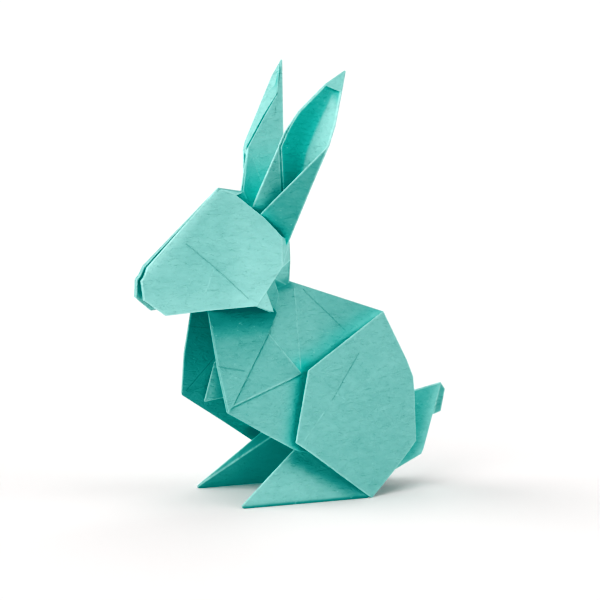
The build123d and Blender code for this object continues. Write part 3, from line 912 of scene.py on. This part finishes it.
def pulp_group():
    """Pulp paper: cloudy tone, curled fibres, specks and a softly uneven surface."""
    tree, given, target = new_group(
        "Pulp Paper", (("Position", "Vector", None), ("Cloud", "Float", 0.5), ("Fibre", "Float", 0.5)),
        ("Tone", "Dark Fleck", "Light Fleck", "Height"),
    )
    position = add_node(tree, "VectorMath", {0: given["Position"], "Scale": 1 / MM}, operation="SCALE")
    millimetres = position.outputs[0]
    # The mat of fibres lies along the sheet, so its grain is longer than it is high
    laid = add_node(
        tree, "Mapping", {"Vector": millimetres, "Rotation": (0.2, 0.35, 0.1), "Scale": (0.45, 0.6, 1.1)},
    ).outputs[0]

    cloud = maths("SUBTRACT", noise(millimetres, 0.16, 2.0), 0.5)
    mottle = maths("SUBTRACT", noise(laid, 0.75, 4.0, 0.65), 0.5)
    tone = maths("MULTIPLY", maths("MULTIPLY_ADD", cloud, 0.5, mottle), given["Cloud"])

    # A fibre is kept only here and there, and so is a speck
    line = strand(millimetres, 0.55, 0.5, 1.2)
    dark = maths("MULTIPLY", line, spread(noise(millimetres, 0.8, 1.0), 0.55, 0.63))
    line = strand(laid, 0.9, 0.52, 0.8)
    light = maths("MULTIPLY", line, spread(noise(millimetres, 0.6, 1.0), 0.58, 0.66))
    speck = add_node(tree, "TexVoronoi", {"Vector": millimetres, "Scale": 0.55})
    dot = spread(speck.outputs["Distance"], 0.05, 0.13, 1.0, 0.0)
    chance = add_node(tree, "SeparateColor", {0: speck.outputs["Color"]}).outputs
    dark_dot = maths("MULTIPLY", dot, spread(chance[0], 0.72, 0.78))
    light_dot = maths("MULTIPLY", dot, spread(chance[1], 0.80, 0.86))
    dark = maths("MULTIPLY", maths("MAXIMUM", dark, dark_dot), given["Fibre"])
    light = maths("MULTIPLY", maths("MAXIMUM", light, light_dot), given["Fibre"])

    # Raised and sunk strokes lie over soft waves and a fine grain
    raised = spread(noise(laid, 0.85, 1.5, 0.5, 1.6), 0.52, 0.68)
    sunk = spread(noise(laid, 0.7, 1.5, 0.5, 1.9), 0.56, 0.70)
    height = maths("MULTIPLY", noise(millimetres, 2.6, 3.0, 0.6), 0.45)
    for part, strength in ((noise(laid, 0.42, 2.0, 0.5, 0.8), 2.2), (raised, 0.8), (sunk, -0.8)):
        height = maths("MULTIPLY_ADD", part, strength, height)
    for value, slot in zip((tone, dark, light, height), target.inputs):
        tree.links.new(value, slot)
    return tree


def crease_group():
    """A pressed crease: how near a place lies to a straight run in the side view, 1 on it and 0
    past its width. The place is dropped onto the run, kept between its ends, and the gap is
    measured."""
    tree, given, target = new_group(
        "Pressed Crease",
        (
            ("Position", "Vector", None), ("Start", "Vector", (0.0, 0.0, 0.0)),
            ("End", "Vector", (0.0, 0.0, 1.0)), ("Width", "Float", 0.0003),
        ),
        ("Line",),
    )

    def vector(operation, first, second, slot=1, output=0):
        return add_node(tree, "VectorMath", {0: first, slot: second}, operation=operation).outputs[output]

    run = vector("SUBTRACT", given["End"], given["Start"])
    away = vector("MULTIPLY", vector("SUBTRACT", given["Position"], given["Start"]), (1, 0, 1))
    reached = vector("DOT_PRODUCT", away, run, output=1)
    share = maths("DIVIDE", reached, vector("DOT_PRODUCT", run, run, output=1), clamp=True)
    gap = vector("DISTANCE", away, vector("SCALE", run, share, slot="Scale"), output=1)
    near = maths("DIVIDE", gap, given["Width"])
    tree.links.new(maths("SUBTRACT", 1.0, near, clamp=True), target.inputs["Line"])
    return tree


def paper_material(name, creases=()):
    """The turquoise paper, with the pressed creases of one piece drawn on it, and with painted light and
    shade from its tone, glow and edge attributes.
    """
    colours = bpy.context.scene.paper_rabbit_colours
    material = bpy.data.materials.new(name)
    material.use_nodes = True
    tree = material.node_tree
    shader = tree.nodes["Principled BSDF"]
    shader.inputs["Specular IOR Level"].default_value = 0.25
    place = tree.nodes.new("ShaderNodeTexCoord").outputs["Object"]
    pulp = add_node(
        tree, "Group", {"Position": place, "Cloud": colours.cloud, "Fibre": colours.fibre},
        node_tree=bpy.data.node_groups.get("Pulp Paper") or pulp_group(),
    ).outputs

    lines = {}
    for start, end, height, _ in creases:
        kind = "valley" if height < 0 else "ridge"
        start, end = (tuple((corner + CENTRING) * (1, 0, 1) * MM) for corner in (start, end))
        line = add_node(
            tree, "Group",
            {"Position": place, "Start": start, "End": end, "Width": CREASE_LINES[kind][0] * MM},
            node_tree=bpy.data.node_groups.get("Pressed Crease") or crease_group(),
        ).outputs["Line"]
        lines[kind] = maths("MAXIMUM", lines[kind], line) if kind in lines else line

    def worn(scale, low, least):
        return spread(noise(place, scale, 2.0), low, 0.6, least, 1.0)

    def attribute(name):
        return add_node(tree, "Attribute", {}, attribute_name=name).outputs["Fac"]

    def paint(under, over, amount):
        over = (*getattr(colours, over), 1.0)
        return add_node(tree, "Mix", {6: under, 7: over, 0: amount}, data_type="RGBA").outputs[2]

    # The tone attribute, over the pulp's cloudy tone, paints shade with deep and dark and light with pale,
    # and the glow attribute paints light from other leaves
    tone = maths("ADD", pulp["Tone"], attribute("tone"))
    colour = (*colours.paper, 1.0)
    colour = paint(colour, "deep", maths("MULTIPLY", tone, 1.0, clamp=True))
    colour = paint(colour, "dark", maths("SUBTRACT", tone, 1.0, clamp=True))
    colour = paint(colour, "pale", maths("MULTIPLY", tone, -1.0, clamp=True))
    colour = paint(colour, "glow", attribute("glow"))
    colour = paint(colour, "deep", maths("MULTIPLY", pulp["Dark Fleck"], 0.8))
    colour = paint(colour, "pale", maths("MULTIPLY", pulp["Light Fleck"], 0.7))
    height = pulp["Height"]
    broken = worn(700.0, 0.35, 0.35)
    # Valley lines paint shade and ridge lines paint a highlight
    for kind, (_, over, strength, depth) in CREASE_LINES.items():
        if kind in lines:
            drawn = maths("MULTIPLY", lines[kind], broken)
            colour = paint(colour, over, maths("MULTIPLY", drawn, strength))
            height = maths("MULTIPLY_ADD", lines[kind], depth, height)
    # Folded edges are paler from rubbing and from a painted highlight
    rubbed = maths("MULTIPLY", attribute("fold_edge"), worn(900.0, 0.3, 0.55))
    colour = paint(colour, "rubbed", maths("MULTIPLY", rubbed, colours.wear_and_highlight))
    tree.links.new(colour, shader.inputs["Base Color"])
    tree.links.new(spread(pulp["Tone"], -0.3, 0.3, 0.78, 0.66), shader.inputs["Roughness"])
    bump = add_node(tree, "Bump", {"Strength": 1.0, "Distance": 0.085 * MM, "Height": height})
    tree.links.new(bump.outputs["Normal"], shader.inputs["Normal"])
    return material


class PaperRabbitSizes(bpy.types.PropertyGroup):
    """Sizes of the paper, in millimetres."""

    leaf: FloatProperty(name="Leaf", description="Thickness of a doubled leaf of paper", default=0.32)
    swell: FloatProperty(name="Fold Swelling", description="How far a fold stands proud", default=0.035)
    corner: FloatProperty(name="Corner", description="How far a folded corner is cut short", default=0.35)
    cell: FloatProperty(name="Cell", description="Spacing of the mesh inside a panel", default=0.62)
    crumple: FloatProperty(name="Crumple", description="Depth of the soft crumples", default=0.13)


def colour_property(name, description, default):
    """A colour that the sidebar shows."""
    return FloatVectorProperty(name=name, description=description, subtype="COLOR", default=default)


class PaperRabbitColours(bpy.types.PropertyGroup):
    """Colours of the paper, and of the light and shade painted on it."""

    paper: colour_property("Paper", "Main colour of the sheet", (0.345, 0.66, 0.625))
    # Deep is also the painted shade where a panel's tone lies between 0 and 1
    deep: colour_property("Deep", "Colour of dark fibres and clouds", (0.22, 0.50, 0.47))
    dark: colour_property("Dark", "Colour of paper deep in shade", (0.15, 0.37, 0.345))
    glow: colour_property("Glow", "Colour where other leaves light the paper", (0.12, 0.68, 0.62))
    # Pale is also the painted light where a panel's tone lies below 0, and the painted highlight of ridge
    # lines
    pale: colour_property("Pale", "Colour of pale fibres and ridges", (0.51, 0.88, 0.84))
    # Rubbed edges are paler from rubbing and from a painted highlight
    rubbed: colour_property("Rubbed", "Colour of the rubbed folded edges", (0.60, 0.96, 0.92))
    cloud: FloatProperty(
        name="Cloud", description="Strength of the cloudy tone", default=0.62, subtype="FACTOR",
    )
    fibre: FloatProperty(
        name="Fibre", description="Strength of the fibres and specks", default=0.6, subtype="FACTOR",
    )
    # How strongly the edges show their rubbing and painted highlight
    wear_and_highlight: FloatProperty(
        name="Wear", description="How pale the folded edges are", default=0.85, subtype="FACTOR",
    )


class PaperRabbitStage(bpy.types.PropertyGroup):
    """Light and camera."""

    fill: FloatProperty(name="Fill", description="Strength of the white surroundings", default=0.25)
    black: FloatProperty(
        name="Black Level", description="Scene brightness that prints as black", default=0.20,
    )
    azimuth: FloatProperty(
        name="Azimuth", description="Camera angle round the rabbit", default=-0.425860, unit="ROTATION",
    )
    elevation: FloatProperty(
        name="Elevation", description="Camera angle above the floor", default=0.144862, unit="ROTATION",
    )
    distance: FloatProperty(
        name="Distance", description="Camera to the middle of the picture", default=0.8214, unit="LENGTH",
    )
    lens: FloatProperty(name="Lens", description="Focal length in millimetres", default=222.0)
    aim: FloatVectorProperty(
        name="Aim", description="Point at the middle of the picture", subtype="XYZ",
        default=(0.0013126, -0.0000905, 0.0432234),
    )


class PAPER_RABBIT_OT_head(bpy.types.Operator):
    """Make the two cheeks with the crown and the nape"""

    bl_idname = "paper_rabbit.head"
    bl_label = "Head"

    def execute(self, context):
        sheets = both_halves(head_half) + both_halves(hem_half) + neck()
        piece("head", sheets, paper_material("head_paper", CHEEK_CREASES))
        return {"FINISHED"}


class PAPER_RABBIT_OT_ears(bpy.types.Operator):
    """Make the two open ear pockets"""

    bl_idname = "paper_rabbit.ears"
    bl_label = "Ears"

    def execute(self, context):
        material = paper_material("ear_paper")
        piece("left_ear", ear_half(LEFT), material)
        piece("right_ear", ear_half(RIGHT), material)
        return {"FINISHED"}


class PAPER_RABBIT_OT_body(bpy.types.Operator):
    """Make the flanks, the collar and the neck"""

    bl_idname = "paper_rabbit.body"
    bl_label = "Body"

    def execute(self, context):
        sheets = both_halves(flank_half) + both_halves(neck_half)
        piece("body", sheets, paper_material("body_paper", FLANK_CREASES))
        return {"FINISHED"}


class PAPER_RABBIT_OT_forelegs(bpy.types.Operator):
    """Make the forelegs with their shoulder flaps and inner layers"""

    bl_idname = "paper_rabbit.forelegs"
    bl_label = "Forelegs"

    def execute(self, context):
        piece("forelegs", both_halves(foreleg_half), paper_material("foreleg_paper", FORELEG_CREASES))
        return {"FINISHED"}


class PAPER_RABBIT_OT_haunches(bpy.types.Operator):
    """Make the two haunches"""

    bl_idname = "paper_rabbit.haunches"
    bl_label = "Haunches"

    def execute(self, context):
        piece("haunches", both_halves(haunch_half), paper_material("haunch_paper", HAUNCH_CREASES))
        return {"FINISHED"}


class PAPER_RABBIT_OT_feet(bpy.types.Operator):
    """Make the two pocketed feet"""

    bl_idname = "paper_rabbit.feet"
    bl_label = "Feet"

    def execute(self, context):
        piece("feet", both_halves(foot_half), paper_material("foot_paper"))
        return {"FINISHED"}


class PAPER_RABBIT_OT_tail(bpy.types.Operator):
    """Make the pleated tail and its tab"""

    bl_idname = "paper_rabbit.tail"
    bl_label = "Tail"

    def execute(self, context):
        # The tab is painted deeper, as in shade
        tab = sheet([left(place, 0) for place in (TAIL_TIP,) + TAIL_TAB], LEFT_OUT, 24, tone=0.6)
        piece("tail", both_halves(tail_half) + [tab], paper_material("tail_paper"))
        return {"FINISHED"}


def lay_floor(scene):
    """A large, plain, pale floor."""
    x, y = np.array([(-1, -1), (1, -1), (1, 1), (-1, 1)]).T * FLOOR_REACH
    mesh = bpy.data.meshes.new("floor")
    mesh.from_pydata(np.stack([x, y, 0 * x], axis=-1).tolist(), [], [(0, 1, 2, 3)])
    floor = bpy.data.objects.new("floor", mesh)
    scene.collection.objects.link(floor)
    white = bpy.data.materials.new("floor_white")
    white.use_nodes = True
    shader = white.node_tree.nodes["Principled BSDF"]
    shader.inputs["Base Color"].default_value = (0.955, 0.93, 0.925, 1)
    shader.inputs["Roughness"].default_value = 0.9
    mesh.materials.append(white)


def light_scene(scene, fill, aim):
    """White surroundings and soft lamps. The camera sees the surroundings white, while they light
    the paper only a little."""
    world = bpy.data.worlds.new("surroundings")
    scene.world = world
    world.use_nodes = True
    tree = world.node_tree
    sky = tree.nodes["Background"]
    sky.inputs["Color"].default_value = (1, 1, 1, 1)
    seen = tree.nodes.new("ShaderNodeLightPath").outputs["Is Camera Ray"]
    strength = maths("MULTIPLY_ADD", seen, SEEN_WHITE - fill, fill)
    tree.links.new(strength, sky.inputs["Strength"])
    for name, way, energy in LIGHTS:
        lamp = bpy.data.lights.new(name, "SUN")
        lamp.energy = energy
        lamp.angle = LIGHT_ANGLE
        light = bpy.data.objects.new(name, lamp)
        light.location = aim + Vector(way).normalized()
        light.rotation_euler = Vector(way).to_track_quat("Z", "Y").to_euler()
        scene.collection.objects.link(light)


def place_camera(scene, stage, aim):
    """A camera that looks at the aim from the stage's two angles and distance."""
    shot = bpy.data.cameras.new("camera")
    shot.lens = stage.lens
    shot.sensor_width = 36
    shot.clip_end = 50
    camera = bpy.data.objects.new("camera", shot)
    scene.collection.objects.link(camera)
    turn, rise = stage.azimuth, stage.elevation
    back = Vector((np.sin(turn) * np.cos(rise), -np.cos(turn) * np.cos(rise), np.sin(rise)))
    camera.location = aim + back * stage.distance
    camera.rotation_euler = back.to_track_quat("Z", "Y").to_euler()
    scene.camera = camera


def set_levels(view, black):
    """Every channel prints as (x - black) / (1 - black). Red eases into black, and green and blue
    keep a little light in the deepest shade, as paper lit by other turquoise paper does."""
    view.view_transform = "Standard"
    view.look = "None"
    view.use_curve_mapping = True
    red, green, blue = list(view.curve_mapping.curves)[:3]
    for level in (0.1, 0.14, 0.17, 0.19, 0.21, 0.23, 0.26, 0.3):
        eased = RED_EASE * np.log(1 + np.exp((level - black) / RED_EASE)) / (1 - black)
        red.points.new(level, eased)
    for curve in (green, blue):
        curve.points[0].location = (0, LIGHT_AT_ZERO)
        for level in (black, 0.3, SHADE_TOP):
            straight = (level - black) / (1 - black)
            kept = LIGHT_AT_BLACK * ((SHADE_TOP - level) / (SHADE_TOP - black)) ** 1.5
            curve.points.new(level, straight + kept)
    for curve in (red, green, blue):
        for point in curve.points:
            point.handle_type = "VECTOR"
    view.curve_mapping.update()


class PAPER_RABBIT_OT_stage(bpy.types.Operator):
    """Make the pale floor, the soft lights and the camera"""

    bl_idname = "paper_rabbit.stage"
    bl_label = "Stage"

    def execute(self, context):
        scene, stage = context.scene, context.scene.paper_rabbit_stage
        aim = Vector(stage.aim)
        lay_floor(scene)
        light_scene(scene, stage.fill, aim)
        place_camera(scene, stage, aim)
        set_levels(scene.view_settings, stage.black)
        return {"FINISHED"}


class PAPER_RABBIT_PT_sidebar(bpy.types.Panel):
    """Lists the pieces and their sizes and colours"""

    bl_label = "Paper Rabbit"
    bl_space_type = "VIEW_3D"
    bl_region_type = "UI"
    bl_category = "Paper Rabbit"

    def draw(self, context):
        for name in ("sizes", "colours", "stage"):
            group = getattr(context.scene, "paper_rabbit_" + name)
            box = self.layout.box()
            for key in group.__annotations__:
                box.prop(group, key)
        for step in STEPS:
            self.layout.operator(step.bl_idname)


STEPS = (
    PAPER_RABBIT_OT_stage, PAPER_RABBIT_OT_head, PAPER_RABBIT_OT_ears, PAPER_RABBIT_OT_body,
    PAPER_RABBIT_OT_forelegs, PAPER_RABBIT_OT_haunches, PAPER_RABBIT_OT_feet, PAPER_RABBIT_OT_tail,
)
GROUPS = {"sizes": PaperRabbitSizes, "colours": PaperRabbitColours, "stage": PaperRabbitStage}


def register():
    """Registers the property groups, the operators and the panel."""
    for group in GROUPS.values():
        bpy.utils.register_class(group)
    for step in STEPS + (PAPER_RABBIT_PT_sidebar,):
        bpy.utils.register_class(step)
    for name, group in GROUPS.items():
        setattr(bpy.types.Scene, "paper_rabbit_" + name, PointerProperty(type=group))


def unregister():
    """Takes back what register() added."""
    for name in GROUPS:
        delattr(bpy.types.Scene, "paper_rabbit_" + name)
    for step in (PAPER_RABBIT_PT_sidebar,) + STEPS[::-1]:
        bpy.utils.unregister_class(step)
    for group in GROUPS.values():
        bpy.utils.unregister_class(group)


def main():
    """Makes every piece and the stage."""
    register()
    for step in STEPS:
        family, name = step.bl_idname.split(".")
        getattr(getattr(bpy.ops, family), name)()


if __name__ == "__main__":
    main()
